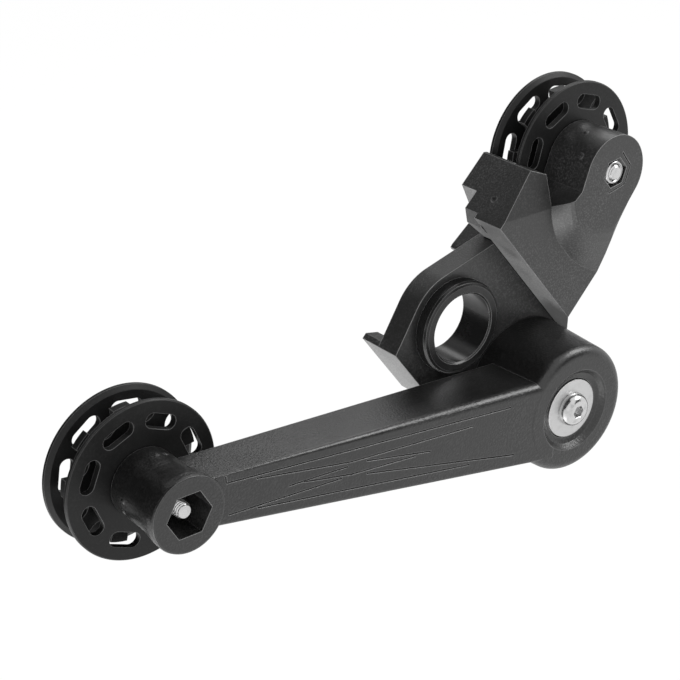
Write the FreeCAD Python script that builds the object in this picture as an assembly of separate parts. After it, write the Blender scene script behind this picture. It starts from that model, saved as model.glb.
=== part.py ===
"""Bicycle chain tensioner. Millimetres, +Z up, +Y towards the bicycle's frame.

The origin is on the axle bore's axis, in the plate's back face. All axes of turning run along Y.
"""
import math
import os

import FreeCAD, Part

V = FreeCAD.Vector
os.makedirs("parts", exist_ok=True)

# axes, as X and Z
pivot = (28.8, -28.5)
upper = (47.1, 42.8)
lower = (-111.8, -14.2)

# running and seating clearances
runGap = 0.05
seatGap = 0.05
sideGap = 0.35

# depths along Y, from the plate's back face towards the viewer
plateThick = 8.1
plateFront = -plateThick
bodyFront = -19.6
lobeFace = -25.9
blockTopFront = -16.6
blockBack = 3.9
blockStepBack = -2.7
hookBack = 7.6

# bracket's outline, as X and Z
hookTip = (-22.7, -4.0)
hookFoot = (-6.8, -25.2)
plateTop = (16.3, 22.5)
blockFoot = (6.8, 32.7)
blockTop = (20.9, 46.8)
blockRight = (26.9, 44.4)
notchLeft = (27.4, 34.8)
notchRight = (33.5, 39.9)
neckRight = (48.5, 25.4)
neckFoot = (48.8, 8.0)
bodyFoot = (37.2, -4.3)
cornerShare = 1.385
housingGap = 0.3
bodyInner = (31.0, 24.0)
stepLength = 12.0
stepFoot = (16.3, 30.0)
blockLength = 18.2
blockHeel = (9.0, 29.2)
blockInner = [bodyInner, (40.0, 30.0), (40.0, 44.0)]
leanStart = 34.2
hookInner = [(-21.4, -2.6), (-16.8, -3.6), (-1.6, -25.2)]

# rib behind the plate's top edge, as X and Z
ribOutline = [(11.8, 16.4), (11.3, 17.2), (12.0, 18.1), (18.1, 23.0), (24.0, 27.7), bodyInner, (24.0, 12.5)]
ribBack = 7.0

# ramp from the body's face up to the lobe's face: both edges as X and Z, and the rise as shares
rampFoot = [notchLeft, (27.9, 29.8), (30.2, 24.0), (33.9, 18.9), (38.7, 13.9), (43.3, 10.8), neckFoot]
rampHead = [(31.0, 37.8), (31.7, 34.6), (33.2, 30.6), (35.4, 28.2), (38.6, 26.6), (43.0, 25.5), neckRight]
rampRise = [(0.0, 0.0), (0.4, 0.48), (0.7, 0.8), (0.9, 0.96), (1.0, 1.0)]

# engraved line beside the upper nut, as X and Z
nutMark = [(49.7, 48.8), (53.4, 43.9), (51.4, 38.3), (44.9, 36.8)]
dimple = (12.2, -10.6, 38.1)
dimpleR = 1.1
dimpleDepth = 0.4

# axle collar
collarOuterR = 14.8
collarBoreR = 11.0
collarProud = 4.3
collarLip = 1.2

# wheels
wheelFront = -8.6
wheelWidth = 13.0
flangeR = 23.75
flangeThick = 2.1
rimBevel = 1.4
slotCount = 8
slotCircleR = 17.4
slotLength = 10.0
slotWidth = 4.5
hubR = 9.5
spigotR = 7.6
bushR = 5.0
sleeveR = 4.0
toothCount = 9
chainPitch = 12.7
rollerR = 3.95
toothTipR = 20.8
toothSpread = 13.0
sprocketThick = 2.4
sprocketCentre = -1.8
wheelClear = 1.5

# fasteners
m5R = 2.5
m5NutAf = 8.0
m5NutThick = 4.0
m5HeadR = 4.75
m5HeadThick = 2.75
m6R = 3.0
m6NutAf = 10.0
m6NutThick = 6.0
m6HeadR = 5.4
m6HeadThick = 3.3
m6KeyAf = 4.0
m6KeyDepth = 2.0
m5KeyAf = 3.0
m5KeyDepth = 1.5
boltGap = 0.15
upperBoltProud = 0.3
lowerBoltSunk = 2.3
endWasherR = 6.0
endWasherThick = 1.0
washerR = 9.5
washerThick = 1.2
headGap = 0.1

# arm
housingR = 20.5
housingRootR = 21.9
housingFront = -33.1
housingBack = plateFront - 0.2
housingEdge = 3.2
dishR = 13.4
dishDepth = 2.2
washerSeat = -30.15
armHubR = 9.6
springCavityR = 17.4
springCavityFloor = -20.6
bushOuterR = 6.6
pivotSleeveR = 5.0
bossR = 11.45
bossFace = -31.4
bossFlare = 11.5
barrelR = 10.3
hexPocketAf = 12.4
hexPocketDepth = 11.0
pivotNutInset = 4.0
lobeR = 11.8
collarWall = 2.5
bossGap = 0.4

# beam of the arm: both ends as X with front, back, top and bottom
beamEnds = [
    (-112.0, -30.4, -16.3, -5.55, -20.05),
    (20.0, -33.2, -13.0, -15.6, -42.65),
]
beamEdge = 1.0
beamEdgeSlim = 0.5
beamEdgeFull = 2.8
grooveWidth = 0.5
grooveDepth = 0.4

# engraved lines on the beam's face, as X and Z of each corner
beamGrooves = [
    [(-99.6, -7.2), (-99.4, -9.3), (1.5, -18.8)],
    [(-89.8, -11.2), (-57.8, -17.0), (-13.0, -20.3)],
    [(-79.3, -17.2), (-59.2, -18.1)],
    [(-74.3, -17.7), (-57.8, -21.0), (-34.7, -22.9)],
    [(-52.5, -18.5), (-29.2, -23.3)],
    [(-52.5, -22.6), (3.8, -35.6)],
    [(-99.0, -19.2), (-61.3, -21.1)],
    [(-89.7, -20.4), (-14.1, -32.9)],
]

# mould pips on the two barrels, as degrees and Y
pipR = 0.9
pipProud = 0.35
lowerPips = [(82, -14.0), (66, -14.1), (178, -14.9), (201, -13.8)]
upperPips = [(148, -21.0), (183, -17.2), (110, -16.6)]

# torsion spring
springWireR = 1.1
springCoilR = 13.5
springTurns = 3.25
springPitch = 2.6
springEndAngle = -360 * springTurns
tangDepth = 2.6
tangGap = 0.2


def polar(centre, radius, degrees):
    a = math.radians(degrees)
    return (centre[0] + radius * math.cos(a), centre[1] + radius * math.sin(a))


def at(point, y):
    return V(point[0], y, point[1])


def cylinder(centre, radius, y0, y1):
    return Part.makeCylinder(radius, y1 - y0, at(centre, y0), V(0, 1, 0))


def tube(centre, outer, inner, y0, y1):
    return cylinder(centre, outer, y0, y1).cut(cylinder(centre, inner, y0 - 1, y1 + 1))


def prism(points, y0, y1):
    wire = Part.makePolygon([at(p, y0) for p in points + points[:1]])
    return Part.Face(wire).extrude(V(0, y1 - y0, 0))


def hexagon(centre, acrossFlats, y0, y1, turn=0.0):
    corner = acrossFlats / math.sqrt(3)
    return prism([polar(centre, corner, turn + 60 * i) for i in range(6)], y0, y1)


def lathe(centre, profile):
    """Solid of revolution about a Y axis through centre, from (radius, y) points."""
    points = [V(centre[0] + r, y, centre[1]) for r, y in profile]
    face = Part.Face(Part.makePolygon(points + points[:1]))
    return face.revolve(at(centre, 0), V(0, 1, 0), 360)


def slotAt(centre, circleR, degrees, length, width, y0, y1):
    """A straight slot with round ends, square to the radius that meets its middle."""
    half = length / 2 - width / 2
    middle = polar(centre, circleR, degrees)
    a = polar(middle, half, degrees + 90)
    b = polar(middle, half, degrees - 90)
    out = polar((0, 0), width / 2, degrees)
    box = prism([(a[0] + out[0], a[1] + out[1]), (b[0] + out[0], b[1] + out[1]),
                 (b[0] - out[0], b[1] - out[1]), (a[0] - out[0], a[1] - out[1])], y0, y1)
    return box.fuse([cylinder(a, width / 2, y0, y1), cylinder(b, width / 2, y0, y1)]).removeSplitter()


def groove(points, faceAt):
    """V-shaped bars along points, for an engraved line. faceAt gives the face's Y at X."""
    bars = []
    for (x0, z0), (x1, z1) in zip(points, points[1:]):
        length = math.hypot(x1 - x0, z1 - z0)
        side = V(-(z1 - z0) / length, 0, (x1 - x0) / length) * (grooveWidth / 2)
        a = V(x0, faceAt(x0), z0)
        run = V(x1, faceAt(x1), z1) - a
        over = V(0, -grooveDepth, 0)
        floor = V(0, grooveDepth, 0)
        corners = [a + side * 2 + over, a - side * 2 + over, a + floor]
        bars.append(Part.Face(Part.makePolygon(corners + corners[:1])).extrude(run))
    return bars


def pips(centre, barrel, places):
    """Low round marks that stand proud of a barrel."""
    sunk = barrel - (pipR ** 2 - pipProud ** 2) / (2 * pipProud)
    ballR = barrel + pipProud - sunk
    return [Part.makeSphere(ballR, at(polar(centre, sunk, degrees), y)) for degrees, y in places]


def save(name, shape):
    shape = shape.removeSplitter() if len(shape.Solids) == 1 else shape
    solids = shape.Solids
    print(name, len(solids), "solids", round(sum(s.Volume for s in solids)), "valid", shape.isValid())
    out = solids[0] if len(solids) == 1 else Part.makeCompound(solids)
    out.exportStep("parts/" + name + ".step")


def screw(centre, underHead, threadEnd, radius, headR, headThick, keyAf, keyDepth):
    """A button head screw along Y. Its head lies on the side of underHead away from threadEnd."""
    s = 1 if underHead > threadEnd else -1
    tip = 0.6
    top = underHead + s * headThick
    profile = [(0, threadEnd), (radius - tip, threadEnd), (radius, threadEnd + s * tip), (radius, underHead),
               (headR, underHead), (headR, underHead + s * 0.35 * headThick),
               (headR * 0.86, underHead + s * 0.78 * headThick), (headR * 0.62, top), (0, top)]
    key = hexagon(centre, keyAf, min(top + s, top - s * keyDepth), max(top + s, top - s * keyDepth), 30)
    return lathe(centre, profile).cut(key)


def hexNut(centre, acrossFlats, boreR, y0, y1, turn):
    corner = acrossFlats / math.sqrt(3)
    nut = hexagon(centre, acrossFlats, y0, y1, turn)
    chamfer = corner - acrossFlats / 2
    turned = lathe(centre, [(0, y0), (acrossFlats / 2, y0), (corner, y0 + chamfer * 0.6),
                            (corner, y1 - chamfer * 0.6), (acrossFlats / 2, y1), (0, y1)])
    return nut.common(turned).cut(cylinder(centre, boreR, y0 - 1, y1 + 1))


def polyhedron(faces):
    return Part.Solid(Part.Shell([Part.Face(Part.makePolygon(corners + corners[:1])) for corners in faces]))


def along(a, b, share):
    return (a[0] + (b[0] - a[0]) * share, a[1] + (b[1] - a[1]) * share)


def plateOutline(plateCorner):
    """Closed outline of the plate: round the collar, up to the block, and round the pivot."""
    collarArcR = collarOuterR + collarWall
    arc = [polar((0, 0), collarArcR, degrees) for degrees in (147, 126, 105)]
    disc = [polar(pivot, housingR, degrees) for degrees in (25, -40, -110)]
    y = plateFront

    def line(a, b):
        return Part.LineSegment(at(a, y), at(b, y)).toShape()

    def bow(points):
        return Part.Arc(*[at(p, y) for p in points]).toShape()

    return Part.Wire([line(hookTip, arc[0]), bow(arc), line(arc[2], plateTop), line(plateTop, plateCorner),
                      line(plateCorner, disc[0]), bow(disc), line(disc[2], hookFoot), line(hookFoot, hookTip)])


def rampBetween(lobeSide):
    """Smooth rise from the body's face to the lobe's face, as a stack of ruled slices."""
    sections = []
    for share, rise in rampRise:
        side = [along(a, b, share) for a, b in zip(rampFoot, rampHead)]
        y = bodyFront + (lobeFace - bodyFront) * rise
        curve = Part.BSplineCurve()
        curve.interpolate([at(p, y) for p in side])
        rest = [side[-1]] + lobeSide + [notchRight, side[0]]
        edges = [curve.toShape()]
        edges += [Part.LineSegment(at(a, y), at(b, y)).toShape() for a, b in zip(rest, rest[1:])]
        sections.append(Part.Wire(edges))
    return Part.makeLoft(sections, True, True)


def mainBracket():
    """Plate, hook, stop block and lobe, moulded in one."""
    plateCorner = along(blockFoot, bodyFoot, cornerShare)
    plate = Part.Face(plateOutline(plateCorner)).extrude(V(0, plateThick, 0))
    wheelSide = wheelFront - bossGap

    # upper body in front of the plate's plane, with the lobe round the upper wheel's axis
    lobeSide = [polar(upper, lobeR, -40), upper, polar(upper, lobeR, 155)]
    body = prism([bodyFoot, neckFoot, neckRight] + lobeSide
                 + [notchRight, notchLeft, blockRight, blockTop, blockFoot], bodyFront, plateFront)
    backing = prism([plateCorner, neckFoot, neckRight, notchLeft, bodyInner, plateTop], plateFront, 0)
    lobe = cylinder(upper, lobeR, lobeFace, wheelSide)
    ramp = rampBetween(lobeSide)

    # wedge below the body, out to the plate's corner
    wedgeTip = at(bodyFoot, bodyFront)
    innerFoot = at(bodyFoot, plateFront)
    innerNeck = at(neckFoot, plateFront)
    outer = at(plateCorner, plateFront)
    foot = polyhedron([[wedgeTip, innerNeck, outer], [outer, innerNeck, innerFoot],
                       [wedgeTip, outer, innerFoot], [wedgeTip, innerFoot, innerNeck]])

    # stop block, stepped at the back, outside the wheel's rim
    def downBlock(s):
        return (blockTop[0] - s / math.sqrt(2), blockTop[1] - s / math.sqrt(2))

    step = prism([blockTop, downBlock(stepLength), stepFoot] + blockInner, wheelSide, blockBack)
    middle = prism([blockTop, downBlock(blockLength), blockHeel, plateTop] + blockInner, wheelSide, blockStepBack)
    rib = prism(ribOutline, -1, ribBack)
    hook = prism([hookTip] + hookInner + [hookFoot], plateFront, hookBack)
    shape = plate.fuse([body, backing, lobe, ramp, foot, step, middle, rib, hook])
    shape = shape.fuse(pips(upper, lobeR, upperPips))

    # the block's top leans back, the wheel turns free behind it, and the arm's housing clears the wedge
    above = blockTop[1] + 3
    lean = Part.makePolygon([V(0, bodyFront, leanStart), V(0, blockTopFront, blockTop[1]),
                             V(0, blockTopFront, above), V(0, bodyFront - 1, above),
                             V(0, bodyFront - 1, leanStart), V(0, bodyFront, leanStart)])
    lean = Part.Face(lean).extrude(V(notchLeft[0] + 0.01, 0, 0))
    shape = shape.cut(lean)
    shape = shape.cut(cylinder(upper, flangeR + wheelClear, wheelSide, hookBack + 1))
    shape = shape.cut(cylinder(pivot, housingRootR + housingGap, lobeFace, plateFront))

    # engraved line, and a dimple in the block's side
    for bar in groove(nutMark, lambda x: lobeFace):
        shape = shape.cut(bar)
    hollowR = (dimpleR ** 2 + dimpleDepth ** 2) / (2 * dimpleDepth)
    out = (hollowR - dimpleDepth) / math.sqrt(2)
    shape = shape.cut(Part.makeSphere(hollowR, V(dimple[0] - out, dimple[1], dimple[2] + out)))

    # seats for what it carries
    cuts = [cylinder((0, 0), collarOuterR + seatGap, plateFront - 1, hookBack + 1),
            cylinder(pivot, m6R + boltGap, bodyFront, hookBack),
            hexagon(pivot, m6NutAf + 2 * boltGap, -pivotNutInset, 1, 0),
            cylinder(upper, m5R + boltGap, lobeFace - 1, wheelFront + 1),
            hexagon(upper, m5NutAf + 2 * boltGap, lobeFace - 1, lobeFace + m5NutThick, 10)]
    for cut in cuts:
        shape = shape.cut(cut)

    # spring hole in the plate
    shape = shape.cut(cylinder(polar(pivot, springCoilR, springEndAngle), springWireR + tangGap,
                               plateFront - 1, plateFront + tangDepth + tangGap))
    save("main_bracket", shape)


def axleCollar():
    front = plateFront - collarProud
    lip = 0.5
    outline = [(collarBoreR, 0), (collarBoreR, front + lip), (collarBoreR + lip, front),
               (collarOuterR - collarLip, front), (collarOuterR - 0.35 * collarLip, front + 0.35 * collarLip),
               (collarOuterR, front + collarLip), (collarOuterR, 0)]
    save("axle_collar", lathe((0, 0), outline))


def pivotParts():
    save("pivot_washer", tube(pivot, washerR, m6R + boltGap, washerSeat - washerThick, washerSeat))
    nutBack = -pivotNutInset + m6NutThick
    save("pivot_nut", hexNut(pivot, m6NutAf, m6R, -pivotNutInset, nutBack, 0))
    save("pivot_bolt", screw(pivot, washerSeat - washerThick, nutBack + 1.0, m6R - seatGap,
                             m6HeadR, m6HeadThick, m6KeyAf, m6KeyDepth))
    save("pivot_sleeve", tube(pivot, pivotSleeveR, m6R + boltGap, washerSeat, plateFront))


def tensionArm():
    """Spring housing, beam and wheel boss, moulded in one."""
    front = housingFront
    housing = lathe(pivot, [(0, front), (housingR, front), (housingRootR, housingBack), (0, housingBack)])
    rim = [e for e in housing.Edges if abs(e.BoundBox.YMin - front) < 0.01 and e.BoundBox.XLength > housingR]
    housing = housing.makeFillet(housingEdge, rim)
    wheelSide = wheelFront - bossGap
    boss = lathe(lower, [(0, bossFace), (bossR - 0.6, bossFace), (bossR - 0.2, bossFace + 0.2),
                         (bossR, bossFace + 0.7), (bossR - 0.1, bossFace + 0.25 * bossFlare),
                         (bossR - 0.5, bossFace + 0.5 * bossFlare), (barrelR + 0.2, bossFace + 0.78 * bossFlare),
                         (barrelR, bossFace + bossFlare), (barrelR, wheelSide), (0, wheelSide)])
    boss = boss.fuse(pips(lower, barrelR, lowerPips))
    sections = []
    for x, yFront, yBack, zTop, zFoot in beamEnds:
        corners = [V(x, yFront, zFoot), V(x, yFront, zTop), V(x, yBack, zTop), V(x, yBack, zFoot)]
        sections.append(Part.makePolygon(corners + corners[:1]))
    beam = Part.makeLoft(sections, True, True)
    (x0, y0), (x1, y1) = [end[:2] for end in beamEnds]

    def faceAt(x):
        return y0 + (y1 - y0) * (x - x0) / (x1 - x0)

    # the edge of the beam's face widens towards the housing
    def isTopFront(e):
        return all(abs(v.Y - faceAt(v.X)) < 0.01 and v.Z > pivot[1] for v in e.Vertexes)

    longEdges = [e for e in beam.Edges if e.Length > 100]
    topFront = [e for e in longEdges if isTopFront(e)][0]
    ends = [beamEdgeSlim, beamEdgeFull]
    if topFront.Vertexes[0].X > topFront.Vertexes[-1].X:
        ends.reverse()
    beam = beam.makeFillet(ends[0], ends[1], [topFront])
    others = [e for e in beam.Edges if e.Length > 100 and e.BoundBox.ZMax < beamEnds[1][3]]
    beam = beam.makeFillet(beamEdge, [e for e in others if e.BoundBox.ZLength > 10])
    shape = housing.fuse([boss, beam])
    shape = shape.cut([cylinder(lower, bossR + 6, wheelSide, 0)])

    # engraved lines, kept off the dish
    for points in beamGrooves:
        for bar in groove(points, faceAt):
            shape = shape.cut(bar)

    # dish round the washer, bearing bore, and the spring's cavity
    dish = lathe(pivot, [(0, front - 1), (dishR, front - 1), (dishR, front), (dishR - 0.5, front + 0.2 * dishDepth),
                         (dishR - 1.6, front + 0.75 * dishDepth), (washerR + 1.0, front + dishDepth),
                         (washerR + 0.4, front + dishDepth), (washerR + 0.4, washerSeat + headGap),
                         (0, washerSeat + headGap)])
    cavity = tube(pivot, springCavityR, armHubR, springCavityFloor, housingBack + 1)
    bore = cylinder(pivot, bushOuterR + seatGap, front - 1, 0)
    tang = cylinder(polar(pivot, springCoilR, 0), springWireR + tangGap,
                    springCavityFloor - tangDepth - tangGap, springCavityFloor + 1)
    for cut in [dish, cavity, bore, tang]:
        shape = shape.cut(cut)

    # hexagon pocket with a smaller seat for the nut in its floor
    floor = bossFace + hexPocketDepth
    shape = shape.cut(hexagon(lower, hexPocketAf, bossFace - 1, floor, 0))
    shape = shape.cut(hexagon(lower, m5NutAf + 2 * boltGap, floor - 1, floor + m5NutThick, 0))
    shape = shape.cut(cylinder(lower, m5R + boltGap, bossFace, 0))
    save("tension_arm", shape)


def armBush():
    save("arm_bush", tube(pivot, bushOuterR, pivotSleeveR + runGap, washerSeat + headGap, housingBack))


def torsionSpring():
    """Round wire coil with a tang at each end, along the pivot's axis."""
    start = springCavityFloor + 2 * springWireR
    rise = springPitch * springTurns
    helix = Part.makeHelix(springPitch, rise, springCoilR)
    helix.rotate(V(0, 0, 0), V(1, 0, 0), -90)
    helix.translate(at(pivot, start))
    ends = sorted(helix.Vertexes, key=lambda v: v.Point.y)
    edge = helix.Edges[0]
    first = edge.valueAt(edge.FirstParameter)
    tangent = edge.tangentAt(edge.FirstParameter)
    ring = Part.Wire(Part.makeCircle(springWireR, first, tangent))
    coil = Part.Wire(helix.Edges).makePipeShell([ring], True, True)
    low = ends[0].Point
    high = ends[-1].Point
    foot = Part.makeCylinder(springWireR, low.y - (springCavityFloor - tangDepth),
                             V(low.x, springCavityFloor - tangDepth, low.z), V(0, 1, 0))
    head = Part.makeCylinder(springWireR, plateFront + tangDepth - high.y, high, V(0, 1, 0))
    elbow = Part.makeSphere(springWireR, low)
    knee = Part.makeSphere(springWireR, high)
    save("torsion_spring", coil.fuse([foot, head, elbow, knee]))


def wheel(prefix, centre, nearPhase, farPhase, toothPhase):
    """Two slotted flanges on the hub of a toothed wheel, with a plain bush in its bore."""
    front = wheelFront
    back = wheelFront + wheelWidth
    for name, y0, outward, phase in (("near", front, True, nearPhase), ("far", back - flangeThick, False, farPhase)):
        y1 = y0 + flangeThick
        inner, outer = (y1, y0) if outward else (y0, y1)
        s = 1 if outward else -1
        rim = lathe(centre, [(spigotR + seatGap, outer), (flangeR - 0.3, outer), (flangeR, outer + s * 0.3),
                             (flangeR, inner - s * 0.9), (flangeR - rimBevel, inner), (spigotR + seatGap, inner)])
        slots = [slotAt(centre, slotCircleR, phase + i * 360 / slotCount, slotLength, slotWidth, y0 - 1, y1 + 1)
                 for i in range(slotCount)]
        rim = rim.cut(slots[0].fuse(slots[1:]))
        save(prefix + "_" + name + "_flange", rim)
    sprocket(prefix, centre, toothPhase, front, back)
    bush = tube(centre, bushR, sleeveR + runGap, front + 0.1, back - 0.1)
    save(prefix + "_wheel_bush", bush)


def sprocket(prefix, centre, phase, front, back):
    """Nine teeth with roller seats, on a hub whose ends carry the flanges."""
    pitchR = chainPitch / 2 / math.sin(math.pi / toothCount)
    y0 = sprocketCentre - sprocketThick / 2
    y1 = sprocketCentre + sprocketThick / 2
    disc = cylinder(centre, toothTipR, y0, y1)
    gap = 360 / toothCount
    gaps = []
    for i in range(toothCount):
        mid = phase + (i + 0.5) * gap
        seat = polar(centre, pitchR, mid)
        left = polar(centre, toothTipR + 2, mid + toothSpread)
        right = polar(centre, toothTipR + 2, mid - toothSpread)
        side = polar((0, 0), rollerR, mid + 90)
        gaps.append(cylinder(seat, rollerR, y0 - 1, y1 + 1))
        gaps.append(prism([(seat[0] + side[0], seat[1] + side[1]), left, right,
                           (seat[0] - side[0], seat[1] - side[1])], y0 - 1, y1 + 1))
    teeth = disc.cut(gaps[0].fuse(gaps[1:]))
    hub = lathe(centre, [(bushR + seatGap, front), (spigotR, front), (spigotR, front + flangeThick),
                         (hubR, front + flangeThick), (hubR, back - flangeThick),
                         (spigotR, back - flangeThick), (spigotR, back), (bushR + seatGap, back)])
    shape = teeth.fuse(hub).cut(cylinder(centre, bushR + seatGap, front - 1, back + 1))
    save(prefix + "_sprocket", shape)


def wheelFasteners(prefix, centre, threadEnd, nutFront, nutTurn):
    back = wheelFront + wheelWidth
    end = back + sideGap
    save(prefix + "_wheel_sleeve", tube(centre, sleeveR, m5R + boltGap, wheelFront - bossGap, end))
    save(prefix + "_end_washer", tube(centre, endWasherR, m5R + boltGap, end, end + endWasherThick))
    save(prefix + "_wheel_bolt", screw(centre, end + endWasherThick, threadEnd, m5R - seatGap,
                                       m5HeadR, m5HeadThick, m5KeyAf, m5KeyDepth))
    save(prefix + "_wheel_nut", hexNut(centre, m5NutAf, m5R, nutFront, nutFront + m5NutThick, nutTurn))


mainBracket()
axleCollar()
pivotParts()
tensionArm()
armBush()
torsionSpring()
wheel("upper", upper, 29.0, 34.0, 15.0)
wheel("lower", lower, 22.5, 36.0, 15.0)
wheelFasteners("upper", upper, lobeFace - upperBoltProud, lobeFace, 10)
wheelFasteners("lower", lower, bossFace + lowerBoltSunk, bossFace + hexPocketDepth, 0)
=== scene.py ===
import math

import bmesh
import bpy
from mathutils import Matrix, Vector


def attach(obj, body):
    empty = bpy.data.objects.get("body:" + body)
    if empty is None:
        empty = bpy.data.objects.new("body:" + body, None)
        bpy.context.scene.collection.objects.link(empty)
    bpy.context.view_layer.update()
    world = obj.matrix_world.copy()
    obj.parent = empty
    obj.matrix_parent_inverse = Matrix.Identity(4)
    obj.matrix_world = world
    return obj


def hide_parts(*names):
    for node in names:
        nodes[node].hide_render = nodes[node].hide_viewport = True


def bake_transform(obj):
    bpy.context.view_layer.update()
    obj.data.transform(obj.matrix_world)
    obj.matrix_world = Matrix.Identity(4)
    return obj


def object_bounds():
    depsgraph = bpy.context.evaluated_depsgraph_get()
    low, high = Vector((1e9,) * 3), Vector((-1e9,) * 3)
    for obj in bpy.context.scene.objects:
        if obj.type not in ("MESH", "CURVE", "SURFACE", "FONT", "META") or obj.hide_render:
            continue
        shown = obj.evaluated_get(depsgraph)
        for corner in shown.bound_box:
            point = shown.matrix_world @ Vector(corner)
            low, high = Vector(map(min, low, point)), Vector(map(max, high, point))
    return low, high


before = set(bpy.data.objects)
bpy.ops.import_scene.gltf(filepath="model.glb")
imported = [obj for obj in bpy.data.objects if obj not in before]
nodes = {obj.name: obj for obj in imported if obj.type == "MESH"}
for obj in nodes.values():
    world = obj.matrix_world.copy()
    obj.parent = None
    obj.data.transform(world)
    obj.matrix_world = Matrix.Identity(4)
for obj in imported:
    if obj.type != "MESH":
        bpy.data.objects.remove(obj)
solidBox = [list(corner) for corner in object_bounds()]
mm = 0.001
print("frame loaded:", len(nodes), "nodes")


# camera at the photograph's angle
cameraSettings = {
    "position": (-0.32905, -0.37184, 0.23092),
    "elevation": 25.78,
    "azimuth": -38.12,
    "lens": 94.9,
    "sensor": 36.0,
    "nearClip": 0.01,
}


def placeCamera(settings):
    data = bpy.data.cameras.new("photoCamera")
    data.lens = settings["lens"]
    data.sensor_width = settings["sensor"]
    data.sensor_fit = "HORIZONTAL"
    data.clip_start = settings["nearClip"]
    holder = bpy.data.objects.new("photoCamera", data)
    bpy.context.collection.objects.link(holder)
    holder.location = settings["position"]
    tilt = 90 - settings["elevation"]
    holder.rotation_euler = (math.radians(tilt), 0, math.radians(settings["azimuth"]))
    bpy.context.scene.camera = holder


placeCamera(cameraSettings)
print("camera placed")


def gray(value):
    return (value, value, value, 1)


# a shared effect: its node tree with named sockets, and its two end nodes
def newGroup(name, inputs, outputs):
    group = bpy.data.node_groups.new(name, "ShaderNodeTree")
    for label, kind, value in inputs:
        socket = group.interface.new_socket(name=label, in_out="INPUT", socket_type="NodeSocket" + kind)
        socket.default_value = value
    for label, kind in outputs:
        group.interface.new_socket(name=label, in_out="OUTPUT", socket_type="NodeSocket" + kind)
    return group, group.nodes.new("NodeGroupInput"), group.nodes.new("NodeGroupOutput")


# links a socket to another node's output, or sets it to a constant
def feed(tree, socket, value):
    if isinstance(value, bpy.types.NodeSocket):
        tree.links.new(value, socket)
    else:
        socket.default_value = value


def mathNode(tree, operation, a, b=0.0):
    node = tree.nodes.new("ShaderNodeMath")
    node.operation = operation
    feed(tree, node.inputs[0], a)
    feed(tree, node.inputs[1], b)
    return node.outputs[0]


def dotNode(tree, a, b):
    node = tree.nodes.new("ShaderNodeVectorMath")
    node.operation = "DOT_PRODUCT"
    feed(tree, node.inputs[0], a)
    feed(tree, node.inputs[1], b)
    return node.outputs["Value"]


# a mix node has sockets for several kinds of value: 6, 7 and output 2 are those for colours
def mixColor(tree, factor, a, b):
    node = tree.nodes.new("ShaderNodeMix")
    node.data_type = "RGBA"
    for index, value in ((0, factor), (6, a), (7, b)):
        feed(tree, node.inputs[index], value)
    return node.outputs[2]


# stretches the span from low to high over another span, and holds the value beyond both ends
def spread(tree, value, low, high, toLow=0.0, toHigh=1.0):
    node = tree.nodes.new("ShaderNodeMapRange")
    for socket, number in zip(node.inputs[0:5], (value, low, high, toLow, toHigh)):
        feed(tree, socket, number)
    return node.outputs[0]


def noiseNode(tree, vector, scale, detail):
    node = tree.nodes.new("ShaderNodeTexNoise")
    node.inputs["Detail"].default_value = detail
    feed(tree, node.inputs["Vector"], vector)
    feed(tree, node.inputs["Scale"], scale)
    return node.outputs["Fac"]


# fine mould texture: dark pits, paler tips, and slow patches where it is worn smoother
def makeGrainGroup():
    group, start, end = newGroup(
        "mouldGrain",
        [("Base", "Color", gray(0.02)), ("Pale", "Color", gray(0.06)),
         ("Scale", "Float", 2600.0), ("Patch", "Float", 60.0), ("Amount", "Float", 0.5),
         ("RoughLow", "Float", 0.4), ("RoughHigh", "Float", 0.6)],
        [("Color", "Color"), ("Roughness", "Float"), ("Height", "Float")])
    place = group.nodes.new("ShaderNodeTexCoord").outputs["Object"]
    fine = noiseNode(group, place, start.outputs["Scale"], detail=2.0)
    patch = noiseNode(group, place, start.outputs["Patch"], detail=4.0)
    patchMask = spread(group, patch, 0.4, 0.62, toLow=0.35)
    tips = mathNode(group, "MULTIPLY", spread(group, fine, 0.46, 0.7), patchMask)
    factor = mathNode(group, "MULTIPLY", tips, start.outputs["Amount"])
    color = mixColor(group, factor, start.outputs["Base"], start.outputs["Pale"])
    group.links.new(color, end.inputs["Color"])
    rough = spread(group, patch, 0.35, 0.65, start.outputs["RoughLow"], start.outputs["RoughHigh"])
    group.links.new(rough, end.inputs["Roughness"])
    group.links.new(mathNode(group, "MULTIPLY", fine, patchMask), end.inputs["Height"])
    return group


# rounds sharp edges in the shading, and marks the outer ones for a painted highlight
# inner corners and grooves get a mask of their own, for painted shade
def makeEdgeGroup():
    samples = 8
    group, start, end = newGroup(
        "softEdge", [("Radius", "Float", 0.0004), ("Gain", "Float", 2.0)],
        [("Mask", "Float"), ("PaintedShade", "Float"), ("Normal", "Vector")])
    bevel = group.nodes.new("ShaderNodeBevel")
    bevel.samples = samples
    group.links.new(start.outputs["Radius"], bevel.inputs["Radius"])
    plainNormal = group.nodes.new("ShaderNodeNewGeometry").outputs["Normal"]
    turned = mathNode(group, "SUBTRACT", 1.0, dotNode(group, bevel.outputs["Normal"], plainNormal))
    mask = spread(group, mathNode(group, "MULTIPLY", turned, start.outputs["Gain"]), 0.0, 1.0)
    # painted shade: inner corners and grooves are found by how sheltered they are
    shelter = group.nodes.new("ShaderNodeAmbientOcclusion")
    shelter.samples = samples
    shelter.only_local = True
    group.links.new(start.outputs["Radius"], shelter.inputs["Distance"])
    openness = spread(group, shelter.outputs["AO"], 0.6, 0.9)
    group.links.new(mathNode(group, "MULTIPLY", mask, openness), end.inputs["Mask"])
    group.links.new(mathNode(group, "SUBTRACT", 1.0, openness), end.inputs["PaintedShade"])
    group.links.new(bevel.outputs["Normal"], end.inputs["Normal"])
    return group
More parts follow.
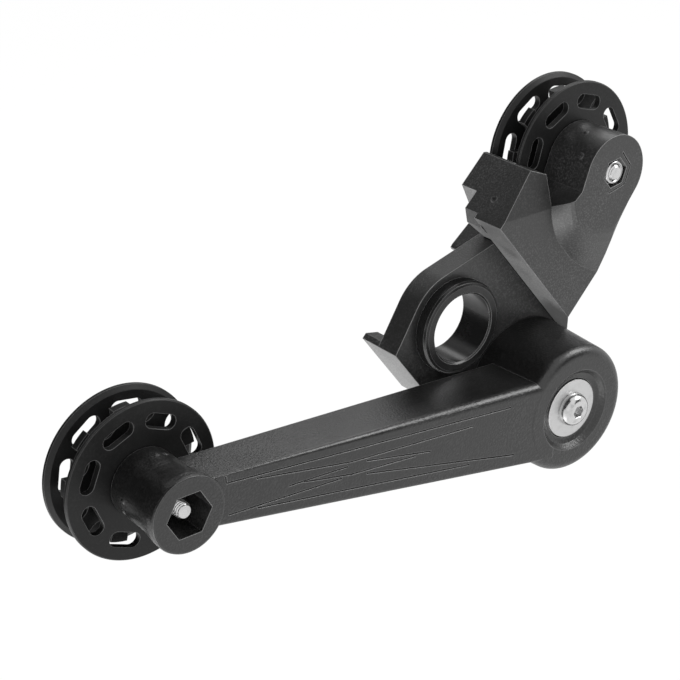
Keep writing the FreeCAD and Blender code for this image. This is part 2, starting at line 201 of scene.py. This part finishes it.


# marks the faces that look one way, for painted light: the drafted walls low at the left get a paler,
# speckled tone
def makeFacingGroup():
    group, start, end = newGroup(
        "facingMask",
        [("Direction", "Vector", (-0.77, -0.1, -0.63)), ("Low", "Float", 0.86), ("High", "Float", 0.97)],
        [("Mask", "Float")])
    normal = group.nodes.new("ShaderNodeTexCoord").outputs["Normal"]
    alike = dotNode(group, normal, start.outputs["Direction"])
    mask = spread(group, alike, start.outputs["Low"], start.outputs["High"])
    group.links.new(mask, end.inputs["Mask"])
    return group


# faint tool marks and dulled spots on a machined or pressed metal face
def makeTurnedGroup():
    group, start, end = newGroup(
        "turnedMetal",
        [("Base", "Color", gray(0.7)), ("Dull", "Color", gray(0.5)),
         ("Scale", "Float", 1500.0), ("SpotScale", "Float", 420.0),
         ("Rough", "Float", 0.25), ("RoughSpan", "Float", 0.1)],
        [("Color", "Color"), ("Roughness", "Float"), ("Height", "Float")])
    place = group.nodes.new("ShaderNodeTexCoord").outputs["Object"]
    fine = noiseNode(group, place, start.outputs["Scale"], detail=4.0)
    spots = noiseNode(group, place, start.outputs["SpotScale"], detail=3.0)
    color = mixColor(group, spread(group, spots, 0.5, 0.8), start.outputs["Base"], start.outputs["Dull"])
    group.links.new(color, end.inputs["Color"])
    span = mathNode(group, "MULTIPLY", spread(group, fine, 0.35, 0.65), start.outputs["RoughSpan"])
    group.links.new(mathNode(group, "ADD", start.outputs["Rough"], span), end.inputs["Roughness"])
    group.links.new(fine, end.inputs["Height"])
    return group


grainGroup = makeGrainGroup()
edgeGroup = makeEdgeGroup()
facingGroup = makeFacingGroup()
turnedGroup = makeTurnedGroup()
print("shared effects made")


def placeGroup(tree, group, values):
    node = tree.nodes.new("ShaderNodeGroup")
    node.node_tree = group
    for name, value in values.items():
        node.inputs[name].default_value = value
    return node


def newMaterial(name):
    material = bpy.data.materials.new(name)
    material.use_nodes = True
    return material, material.node_tree, material.node_tree.nodes["Principled BSDF"]


def finishSurface(tree, shader, effect, edge, look):
    tree.links.new(effect.outputs["Roughness"], shader.inputs["Roughness"])
    bump = tree.nodes.new("ShaderNodeBump")
    bump.inputs["Strength"].default_value = look["bump"]
    bump.inputs["Distance"].default_value = look["deep"] * mm
    tree.links.new(effect.outputs["Height"], bump.inputs["Height"])
    tree.links.new(edge.outputs["Normal"], bump.inputs["Normal"])
    tree.links.new(bump.outputs["Normal"], shader.inputs["Normal"])


def plastic(name, look):
    material, tree, shader = newMaterial(name)
    roughLow, roughHigh = look["rough"]
    grain = placeGroup(tree, grainGroup, {
        "Base": gray(look["base"]), "Pale": gray(look["pale"]), "Scale": look["grain"],
        "Patch": look["patch"], "Amount": look["amount"], "RoughLow": roughLow, "RoughHigh": roughHigh})
    edge = placeGroup(tree, edgeGroup, {"Radius": look["edge"] * mm, "Gain": look["edgeGain"]})
    # painted highlight: the outer edges are paler in colour
    color = mixColor(tree, edge.outputs["Mask"], grain.outputs["Color"], gray(look["edgeHighlightTone"]))
    # painted light: faces that look the wall's way get a paler tone, speckled with the grain
    if "paintedWallLight" in look:
        wall = placeGroup(tree, facingGroup, {"Direction": look["wall"]})
        speckledWallLight = spread(tree, grain.outputs["Height"], 0.25, 0.6, *look["paintedWallLight"])
        color = mixColor(tree, wall.outputs["Mask"], color, speckledWallLight)
    # painted shade: grooves and inner corners are painted black, and made metallic so that they lose their
    # gloss too
    grooveShade = mathNode(tree, "MULTIPLY", edge.outputs["PaintedShade"], look["paintedGrooveShade"])
    tree.links.new(mixColor(tree, grooveShade, color, gray(0.0)), shader.inputs["Base Color"])
    tree.links.new(grooveShade, shader.inputs["Metallic"])
    shader.inputs["Specular IOR Level"].default_value = look["gloss"]
    finishSurface(tree, shader, grain, edge, look)
    return material


def metal(name, look):
    material, tree, shader = newMaterial(name)
    turned = placeGroup(tree, turnedGroup, {
        "Base": gray(look["base"]), "Dull": gray(look["dull"]), "Scale": look["marks"],
        "Rough": look["rough"], "RoughSpan": look["roughSpan"]})
    edge = placeGroup(tree, edgeGroup, {"Radius": look["edge"] * mm, "Gain": look["edgeGain"]})
    # painted highlight: the outer edges are paler in colour
    color = mixColor(tree, edge.outputs["Mask"], turned.outputs["Color"], gray(look["edgeHighlightTone"]))
    tree.links.new(color, shader.inputs["Base Color"])
    shader.inputs["Metallic"].default_value = 1.0
    finishSurface(tree, shader, turned, edge, look)
    return material


# in every look the tones run from 0 to 1, edge and deep are in millimetres, and grain, patch and marks are
# the scales of noise per metre; the edge tone is a painted highlight, the wall tone painted light, and the
# groove darkness painted shade

# bracket: coarse grain on the plate and the block, and painted light on the drafted walls low at the left
bracketLook = {
    "base": 0.009, "pale": 0.07, "grain": 1900.0, "patch": 45.0, "amount": 0.7, "rough": (0.36, 0.46),
    "edge": 0.4, "edgeGain": 2.8, "edgeHighlightTone": 0.42, "gloss": 0.75, "bump": 0.9, "deep": 0.1,
    "wall": (-0.77, -0.1, -0.63), "paintedWallLight": (0.105, 0.225), "paintedGrooveShade": 0.85,
}
bracketPlastic = plastic("bracketPlastic", bracketLook)

# arm: finer grain and a softer sheen
armLook = {
    "base": 0.004, "pale": 0.03, "grain": 1500.0, "patch": 35.0, "amount": 0.7, "rough": (0.3, 0.4),
    "edge": 0.4, "edgeGain": 3.0, "edgeHighlightTone": 0.33, "gloss": 0.72, "bump": 1.0, "deep": 0.22,
    "paintedGrooveShade": 0.85,
}
armPlastic = plastic("armPlastic", armLook)

# wheels: satin, darker
wheelLook = {
    "base": 0.006, "pale": 0.018, "grain": 1800.0, "patch": 90.0, "amount": 0.5, "rough": (0.36, 0.46),
    "edge": 0.35, "edgeGain": 2.8, "edgeHighlightTone": 0.22, "gloss": 0.3, "bump": 0.15, "deep": 0.1,
    "paintedGrooveShade": 0.5,
}
wheelPlastic = plastic("wheelPlastic", wheelLook)

# collar: glossy, with a few soft scuffs and a strong painted highlight along its edges
collarLook = {
    "base": 0.006, "pale": 0.02, "grain": 700.0, "patch": 70.0, "amount": 0.4, "rough": (0.23, 0.3),
    "edge": 0.35, "edgeGain": 3.0, "edgeHighlightTone": 0.7, "gloss": 0.46, "bump": 0.04, "deep": 0.1,
    "paintedGrooveShade": 0.5,
}
collarGloss = plastic("collarGloss", collarLook)

# bearing bushes: pale slippery plastic, mostly hidden
bushLook = {
    "base": 0.26, "pale": 0.36, "grain": 1500.0, "patch": 90.0, "amount": 0.5, "rough": (0.38, 0.5),
    "edge": 0.2, "edgeGain": 2.0, "edgeHighlightTone": 0.42, "gloss": 0.5, "bump": 0.1, "deep": 0.1,
    "paintedGrooveShade": 0.4,
}
bushPlastic = plastic("bushPlastic", bushLook)

# screws, nuts and sleeves
screwLook = {
    "base": 0.62, "dull": 0.42, "marks": 1500.0, "rough": 0.14, "roughSpan": 0.1,
    "edge": 0.15, "edgeGain": 1.6, "edgeHighlightTone": 0.85, "bump": 0.12, "deep": 0.05,
}
screwSteel = metal("screwSteel", screwLook)

# pressed washers: brushed and a little duller
washerLook = {
    "base": 0.62, "dull": 0.54, "marks": 2200.0, "rough": 0.36, "roughSpan": 0.14,
    "edge": 0.22, "edgeGain": 2.4, "edgeHighlightTone": 0.9, "bump": 0.25, "deep": 0.05,
}
washerSteel = metal("washerSteel", washerLook)

# spring wire: dark oiled steel
springLook = {
    "base": 0.3, "dull": 0.16, "marks": 900.0, "rough": 0.3, "roughSpan": 0.15,
    "edge": 0.1, "edgeGain": 1.0, "edgeHighlightTone": 0.4, "bump": 0.15, "deep": 0.05,
}
springSteel = metal("springSteel", springLook)

finishOf = {
    "main_bracket": bracketPlastic, "tension_arm": armPlastic, "axle_collar": collarGloss,
    "torsion_spring": springSteel,
}
finishByWord = {
    "flange": wheelPlastic, "sprocket": wheelPlastic, "bush": bushPlastic, "washer": washerSteel,
}
for name, node in nodes.items():
    found = [material for word, material in finishByWord.items() if word in name]
    material = finishOf.get(name, found[0] if found else screwSteel)
    node.data.materials.clear()
    node.data.materials.append(material)
print("materials laid on", len(nodes), "nodes")


# low and high corner of a node, in millimetres
def nodeBox(name):
    corners = [nodes[name].matrix_world @ Vector(corner) for corner in nodes[name].bound_box]
    return [[pick(corner[i] for corner in corners) / mm for i in range(3)] for pick in (min, max)]


# x and z of the middle of a node that is turned about an axis along Y, in millimetres
def nodeAxis(name):
    low, high = nodeBox(name)
    return [(low[i] + high[i]) / 2 for i in (0, 2)]


def roundAngles(columns):
    return [2 * math.pi * i / columns for i in range(columns)]


# distance from the middle of a hexagon to its side, in the direction of an angle
def hexRadius(acrossFlats, angle):
    return acrossFlats / 2 / math.cos((angle % (math.pi / 3)) - math.pi / 6)


# joins rings of points into one smooth piece: closed ones run on into the first again, open ones get ends
def skinRings(name, rings, closed, material):
    sharpFrom = math.radians(38)
    mesh = bmesh.new()
    loops = [[mesh.verts.new(point) for point in ring] for ring in rings]
    following = loops[1:] + loops[:1] if closed else loops[1:]
    for near, far in zip(loops, following):
        for i in range(len(near)):
            j = (i + 1) % len(near)
            mesh.faces.new((near[i], near[j], far[j], far[i]))
    if not closed:
        mesh.faces.new(loops[0])
        mesh.faces.new(loops[-1])
    bmesh.ops.recalc_face_normals(mesh, faces=mesh.faces)
    data = bpy.data.meshes.new(name)
    mesh.to_mesh(data)
    mesh.free()
    for face in data.polygons:
        face.use_smooth = True
    data.set_sharp_from_angle(angle=sharpFrom)
    piece = bpy.data.objects.new(name, data)
    bpy.context.collection.objects.link(piece)
    data.materials.append(material)
    return piece


# rings round an axis along Y: each row is a place on it and one radius for each angle, in millimetres
def latheRings(axis, rows, angles):
    x, z = axis
    return [[((x + r * math.cos(a)) * mm, y * mm, (z + r * math.sin(a)) * mm) for r, a in zip(radii, angles)]
            for y, radii in rows]


# screws with a real thread, a domed head and a hexagon socket
screwShape = {
    "columns": 60, "rowsPerPitch": 8,
    # the thread's depth as a share of its pitch, the slope of its flanks, and its flat crest
    "threadDepth": 0.55, "flankSlope": 1.25, "crestFlat": 0.1,
    # the head's edge below, the share of its height before the dome, and how far the dome turns, in degrees
    "headEdge": 0.15, "rimShare": 0.08, "domeTurn": 58, "domeRows": 10,
    # the socket's mouth: how much wider it is across flats, and how deep
    "mouthGrow": 0.3, "mouthDeep": 0.15,
}
screwSettings = [
    {"node": "pivot_bolt", "body": "bracket", "headLow": True, "radius": 2.95, "pitch": 1.0,
     "threaded": 8.0, "headThick": 3.3, "key": 3.6, "keyDepth": 2.7, "tip": 0.6},
    {"node": "upper_wheel_bolt", "body": "bracket", "headLow": False, "radius": 2.45, "pitch": 0.8,
     "threaded": 6.0, "headThick": 2.75, "key": 3.0, "keyDepth": 1.5, "tip": 0.6},
    {"node": "lower_wheel_bolt", "body": "arm", "headLow": False, "radius": 2.45, "pitch": 0.8,
     "threaded": 10.0, "headThick": 2.75, "key": 3.0, "keyDepth": 1.5, "tip": 0.6},
]


def clamp(value):
    return min(1.0, max(0.0, value))


# along is the distance from the tip, turn the angle as a share of a full turn
def threadRadius(part, shape, along, turn):
    phase = (along / part["pitch"] - turn) % 1.0
    fromCrest = abs(phase - 0.5) * 2.0
    flank = clamp(shape["flankSlope"] * fromCrest - shape["crestFlat"])
    depth = shape["threadDepth"] * part["pitch"] * flank
    fade = clamp((part["threaded"] - along) / part["pitch"])
    limit = part["radius"] - part["tip"] * max(0.0, 1.0 - along / part["tip"])
    return min(limit, part["radius"] - depth * fade)


# rows of the head: distance from the screw's tip, and one radius for each angle
def headRows(part, shape, headR, length, angles):
    rows = []
    rim = shape["rimShare"] * part["headThick"]
    for i in range(shape["domeRows"]):
        t = i / (shape["domeRows"] - 1)
        r = headR * math.cos(t * math.radians(shape["domeTurn"]))
        y = length + rim + (part["headThick"] - rim) * math.sin(t * math.pi / 2)
        rows.append((y, [r] * len(angles)))
    top = length + part["headThick"]
    for grow, drop in ((shape["mouthGrow"], 0.0), (0.0, shape["mouthDeep"]), (0.0, part["keyDepth"])):
        rows.append((top - drop, [hexRadius(part["key"] + grow, a) for a in angles]))
    return rows


def makeScrew(part, shape):
    low, high = nodeBox(part["node"])
    headR = (high[0] - low[0]) / 2
    threadEnd = high[1] if part["headLow"] else low[1]
    direction = -1 if part["headLow"] else 1
    length = high[1] - low[1] - part["headThick"]
    angles = roundAngles(shape["columns"])
    rows = []
    along = 0.0
    while along < part["threaded"]:
        rows.append((along, [threadRadius(part, shape, along, a / 2 / math.pi) for a in angles]))
        along += part["pitch"] / shape["rowsPerPitch"]
    under = headR - shape["headEdge"]
    shank = [(part["threaded"], part["radius"]), (length, part["radius"]), (length, under)]
    rows += [(y, [r] * len(angles)) for y, r in shank]
    rows += headRows(part, shape, headR, length, angles)
    rows = [(threadEnd + direction * along, radii) for along, radii in rows]
    rings = latheRings(nodeAxis(part["node"]), rows, angles)
    screw = skinRings(part["node"] + "Threaded", rings, False, screwSteel)
    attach(screw, part["body"])
    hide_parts(part["node"])


for part in screwSettings:
    makeScrew(part, screwShape)
print("three threaded screws made")


# upper wheel's nut: a round collar in front of a hexagon that sits slightly loose in its pocket
nutSettings = {
    "node": "upper_wheel_nut", "body": "bracket", "columns": 72, "sunk": 0.1, "flats": 7.7,
    "collarR": 3.6, "collarHigh": 1.5, "bore": 2.52, "chamfer": 0.35,
    # the collar's rounded edge: depth behind the sunk face, and how far inside the collar's radius
    "collarEdge": ((0.0, 0.85), (0.06, 0.45), (0.22, 0.15), (0.5, 0.0)),
}


def makeNut(part):
    low, high = nodeBox(part["node"])
    x, z = nodeAxis(part["node"])
    node = nodes[part["node"]]
    places = [node.matrix_world @ vertex.co / mm for vertex in node.data.vertices]
    corner = max(places, key=lambda place: math.hypot(place.x - x, place.z - z))
    turn = math.atan2(corner.z - z, corner.x - x)
    angles = roundAngles(part["columns"])
    front = low[1] + part["sunk"]
    shoulder = front + part["collarHigh"]
    flats, bore, chamfer = part["flats"], part["bore"], part["chamfer"]

    def hexRing(across):
        return [hexRadius(across, a - turn) for a in angles]

    def roundRing(radius):
        return [radius] * len(angles)

    rows = [(front + chamfer, roundRing(bore)), (front, roundRing(bore + chamfer))]
    rows += [(front + depth, roundRing(part["collarR"] - inset)) for depth, inset in part["collarEdge"]]
    rows += [(shoulder, roundRing(part["collarR"])), (shoulder, hexRing(flats - chamfer)),
             (shoulder + chamfer, hexRing(flats)), (high[1] - chamfer, hexRing(flats)),
             (high[1], hexRing(flats - chamfer)), (high[1], roundRing(bore))]
    nut = skinRings(part["node"] + "Rounded", latheRings((x, z), rows, angles), True, screwSteel)
    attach(nut, part["body"])
    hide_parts(part["node"])


makeNut(nutSettings)
print("round-nosed nut made")


# arm's spring: one end sits in the arm, the other in the bracket, and the coil lies between them, made as at
# rest
springSettings = {
    "node": "torsion_spring", "arm": "arm", "bracket": "bracket", "wireR": 1.1, "turns": 3.25, "pitch": 2.6,
    "tang": 2.6, "bend": 2.2, "stepsPerTurn": 36, "stepsPerBend": 6, "columns": 12,
}


# the wire's middle line: a foot, a bend, the coil, a bend and a head, and where the coil starts and ends
def springPath(part, axis, coilR, footY, headY):
    start = footY + part["tang"] + 2 * part["wireR"]
    end = start + part["turns"] * part["pitch"]

    def coilPoint(turned):
        angle = -2 * math.pi * turned
        return Vector((axis[0] + coilR * math.cos(angle), start + part["pitch"] * turned,
                       axis[1] + coilR * math.sin(angle)))

    def bendPoints(first, corner, last):
        shares = [i / part["stepsPerBend"] for i in range(part["stepsPerBend"])]
        return [first.lerp(corner, t).lerp(corner.lerp(last, t), t) for t in shares]

    bendTurn = part["bend"] / (2 * math.pi * coilR)
    bendUp = Vector((0, part["bend"], 0))
    foot, head = coilPoint(0), coilPoint(part["turns"])
    steps = round(part["stepsPerTurn"] * part["turns"])
    points = [Vector((foot.x, footY, foot.z))]
    points += bendPoints(foot - bendUp, foot, coilPoint(bendTurn))
    points += [coilPoint(bendTurn + (part["turns"] - 2 * bendTurn) * i / steps) for i in range(steps)]
    points += bendPoints(coilPoint(part["turns"] - bendTurn), head, head + bendUp)
    points += [head + bendUp, Vector((head.x, headY, head.z))]
    return points, start, end


def makeSpring(part):
    low, high = nodeBox(part["node"])
    axis = nodeAxis("pivot_bolt")
    coilR = high[0] - axis[0] - part["wireR"]
    points, start, end = springPath(part, axis, coilR, low[1], high[1])
    angles = roundAngles(part["columns"])
    rings = []
    outward = Vector((1, 0, 0))
    for i, point in enumerate(points):
        along = (points[min(i + 1, len(points) - 1)] - points[max(i - 1, 0)]).normalized()
        outward = (outward - along * outward.dot(along)).normalized()
        across = along.cross(outward)
        spokes = [outward * math.cos(a) + across * math.sin(a) for a in angles]
        rings.append([(point + spoke * part["wireR"]) * mm for spoke in spokes])
    spring = skinRings("windingSpring", rings, False, springSteel)
    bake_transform(spring)
    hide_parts(part["node"])


makeSpring(springSettings)
print("winding spring made")


# studio: white surroundings and a pale floor that keeps a faint shadow
studioSettings = {
    "floorDrop": 4.0, "floorSize": 8.0, "floorTone": 0.9, "shadowShare": 0.1, "ambient": 1.0,
}


def seenDirectly(tree):
    ray = tree.nodes.new("ShaderNodeLightPath")
    seen = mathNode(tree, "MAXIMUM", ray.outputs["Is Camera Ray"], ray.outputs["Is Glossy Ray"])
    return mathNode(tree, "MAXIMUM", seen, ray.outputs["Is Transmission Ray"])


def addPlane(name, size, position):
    mesh = bmesh.new()
    bmesh.ops.create_grid(mesh, x_segments=1, y_segments=1, size=size / 2)
    data = bpy.data.meshes.new(name)
    mesh.to_mesh(data)
    mesh.free()
    plane = bpy.data.objects.new(name, data)
    bpy.context.collection.objects.link(plane)
    plane.location = position
    return plane


# the floor lies below the lowest place that the arm's wheel can swing to
def floorHeight(drop):
    pivot, wheel = nodeAxis("pivot_bolt"), nodeAxis("lower_wheel_bolt")
    rimLow, rimHigh = nodeBox("lower_near_flange")
    reach = math.dist(pivot, wheel) + (rimHigh[2] - rimLow[2]) / 2
    return (pivot[1] - reach - drop) * mm


def matte(name, tone, rough, gloss):
    material, tree, shader = newMaterial(name)
    shader.inputs["Base Color"].default_value = gray(tone)
    shader.inputs["Roughness"].default_value = rough
    shader.inputs["Specular IOR Level"].default_value = gloss
    return material, tree, shader


def studioFloor(settings):
    floor = addPlane("studioFloor", settings["floorSize"], (0, 0, floorHeight(settings["floorDrop"])))
    material, tree, shader = matte("studioFloorWhite", settings["floorTone"], rough=0.9, gloss=0.1)
    glow = tree.nodes.new("ShaderNodeEmission")
    mix = tree.nodes.new("ShaderNodeMixShader")
    glowShare = mathNode(tree, "MULTIPLY", seenDirectly(tree), 1.0 - settings["shadowShare"])
    tree.links.new(glowShare, mix.inputs[0])
    tree.links.new(shader.outputs[0], mix.inputs[1])
    tree.links.new(glow.outputs[0], mix.inputs[2])
    tree.links.new(mix.outputs[0], tree.nodes["Material Output"].inputs["Surface"])
    floor.data.materials.append(material)


def studioWorld(settings):
    world = bpy.data.worlds.new("studioWorld")
    world.use_nodes = True
    bpy.context.scene.world = world
    tree = world.node_tree
    background = tree.nodes["Background"]
    background.inputs["Color"].default_value = (1, 1, 1, 1)
    strength = spread(tree, seenDirectly(tree), 0.0, 1.0, settings["ambient"], 1.0)
    tree.links.new(strength, background.inputs["Strength"])


centre = [(a + b) / 2 for a, b in zip(*solidBox)]
studioFloor(studioSettings)
studioWorld(studioSettings)


# soft lights, each aimed at the middle of the part
lightSettings = {
    "keyLight": {"power": 5.0, "size": 0.5, "position": (0.7, -0.4, 0.7)},
    "topLight": {"power": 1.0, "size": 0.4, "position": (0.5, 0.5, 0.6)},
}


def softLight(name, settings, target):
    data = bpy.data.lights.new(name, "AREA")
    data.energy = settings["power"]
    data.size = settings["size"]
    lamp = bpy.data.objects.new(name, data)
    bpy.context.collection.objects.link(lamp)
    lamp.location = settings["position"]
    lamp.rotation_euler = (Vector(target) - lamp.location).to_track_quat("-Z", "Y").to_euler()


for name, settings in lightSettings.items():
    softLight(name, settings, centre)


# fill from below at the left: no gloss and no shadow
fillSettings = {"power": 2.0, "softAngle": 0.6, "from": (-0.6, -0.1, -0.8)}


def sideFill(settings):
    data = bpy.data.lights.new("sideFill", "SUN")
    data.energy = settings["power"]
    data.angle = settings["softAngle"]
    data.specular_factor = 0.0
    data.use_shadow = False
    lamp = bpy.data.objects.new("sideFill", data)
    bpy.context.collection.objects.link(lamp)
    lamp.rotation_euler = Vector(settings["from"]).to_track_quat("Z", "Y").to_euler()


sideFill(fillSettings)


# dark cards that shape the gloss: only reflections see them
# all face the part, but for the low one, which lies beside it and faces straight up
lowest = solidBox[0][2] - studioSettings["floorDrop"] * mm
cardSettings = {
    "leftCard": {"size": 3.0, "position": (-1.3, 0.4, 1.4), "target": centre, "tone": 0.03},
    "sideCard": {"size": 1.4, "position": (-1.0, 1.0, 0.5), "target": centre, "tone": 0.05},
    "backCard": {"size": 1.9, "position": (0.85, 1.05, 0.5), "target": centre, "tone": 0.2},
    "frontCard": {"size": 0.6, "position": (0.67, -0.98, 0.26), "target": centre, "tone": 0.05},
    "lowCard": {"size": 0.6, "position": (-0.38, 0.36, lowest), "target": (-0.38, 0.36, 1.0), "tone": 0.05},
}


def darkCard(name, settings):
    card = addPlane(name, settings["size"], settings["position"])
    away = Vector(settings["target"]) - Vector(settings["position"])
    card.rotation_euler = away.to_track_quat("Z", "Y").to_euler()
    card.visible_camera = False
    card.visible_diffuse = False
    card.visible_shadow = False
    felt = matte(name + "Felt", settings["tone"], rough=1.0, gloss=0.0)[0]
    card.data.materials.append(felt)


for name, settings in cardSettings.items():
    darkCard(name, settings)
bpy.context.scene.view_settings.view_transform = "Standard"
print("studio set")
